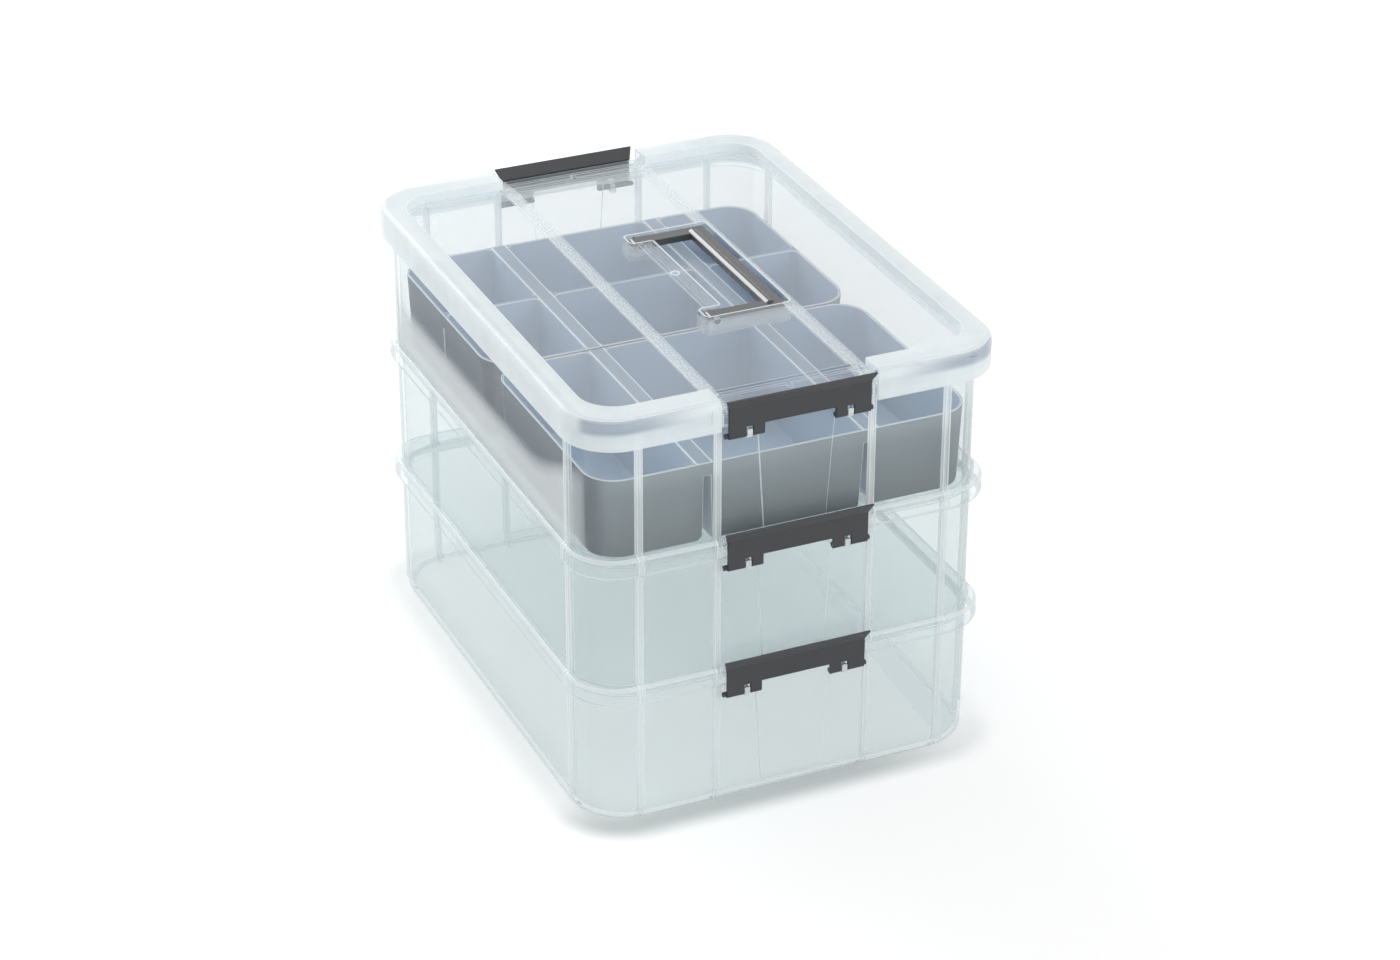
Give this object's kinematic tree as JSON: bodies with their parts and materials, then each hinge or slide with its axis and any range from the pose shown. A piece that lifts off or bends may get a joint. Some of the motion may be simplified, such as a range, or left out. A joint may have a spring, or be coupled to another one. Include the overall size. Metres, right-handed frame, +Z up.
{
  "type": "sewing box with trays",
  "caption": "Clear stacking sewing box with a latched lid, a folding carry handle in the lid, and lift-out cup trays in its top layer.",
  "frame": {"origin": "middle of the bottom box's base, on the surface that it stands on", "axes": "+Z up, -Y towards the front with the latches, +X to the right, the way the folded handle points"},
  "size_m": [0.2714, 0.3618, 0.272],
  "materials": {
    "clear_plastic": "clear glossy, frosted on the lid's rim and bands",
    "charcoal_plastic": "satin",
    "grey_plastic": "satin",
    "smoke_plastic": "translucent satin"
  },
  "bodies": {
    "bottom_box": {"bottom_box": "clear_plastic"},
    "middle_box": {"middle_box": "clear_plastic"},
    "top_box": {"top_box": "clear_plastic"},
    "lid": {"lid": "clear_plastic"},
    "carry_handle": {"carry_handle": "grey_plastic"},
    "bottom_front_latch": {"bottom_front_latch": "charcoal_plastic"},
    "bottom_back_latch": {"bottom_back_latch": "charcoal_plastic"},
    "middle_front_latch": {"middle_front_latch": "charcoal_plastic"},
    "middle_back_latch": {"middle_back_latch": "charcoal_plastic"},
    "top_front_latch": {"top_front_latch": "charcoal_plastic"},
    "top_back_latch": {"top_back_latch": "charcoal_plastic"},
    "back_tray": {"back_tray": "smoke_plastic"},
    "front_tray": {"front_tray": "smoke_plastic"}
  },
  "joints": [
    {"name": "middle_box_lift", "type": "slide", "parent": "bottom_box", "child": "middle_box", "axis": [0, 0, 1], "range_m": [0, 0.1]},
    {"name": "top_box_lift", "type": "slide", "parent": "middle_box", "child": "top_box", "axis": [0, 0, 1], "range_m": [0, 0.1]},
    {"name": "lid_lift", "type": "slide", "parent": "top_box", "child": "lid", "axis": [0, 0, 1], "range_m": [0, 0.1]},
    {"name": "handle_swing", "type": "hinge", "parent": "lid", "child": "carry_handle", "pos_m": [-0.0006, 0, 0.26235], "axis": [0, -1, 0], "range_deg": [0, 90]},
    {"name": "back_tray_lift", "type": "slide", "parent": "top_box", "child": "back_tray", "axis": [0, 0, 1], "range_m": [0, 0.024]},
    {"name": "front_tray_lift", "type": "slide", "parent": "top_box", "child": "front_tray", "axis": [0, 0, 1], "range_m": [0, 0.024]},
    {"name": "bottom_front_latch_hinge", "type": "hinge", "parent": "bottom_box", "child": "bottom_front_latch", "pos_m": [0, -0.1757, 0.0758], "axis": [1, 0, 0], "range_deg": [0, 120]},
    {"name": "bottom_back_latch_hinge", "type": "hinge", "parent": "bottom_box", "child": "bottom_back_latch", "pos_m": [0, 0.1757, 0.0758], "axis": [-1, 0, 0], "range_deg": [0, 120]},
    {"name": "middle_front_latch_hinge", "type": "hinge", "parent": "middle_box", "child": "middle_front_latch", "pos_m": [0, -0.1757, 0.1618], "axis": [1, 0, 0], "range_deg": [0, 120]},
    {"name": "middle_back_latch_hinge", "type": "hinge", "parent": "middle_box", "child": "middle_back_latch", "pos_m": [0, 0.1757, 0.1618], "axis": [-1, 0, 0], "range_deg": [0, 120]},
    {"name": "top_front_latch_hinge", "type": "hinge", "parent": "top_box", "child": "top_front_latch", "pos_m": [0, -0.1757, 0.2478], "axis": [1, 0, 0], "range_deg": [0, 120]},
    {"name": "top_back_latch_hinge", "type": "hinge", "parent": "top_box", "child": "top_back_latch", "pos_m": [0, 0.1757, 0.2478], "axis": [-1, 0, 0], "range_deg": [0, 120]}
  ]
}
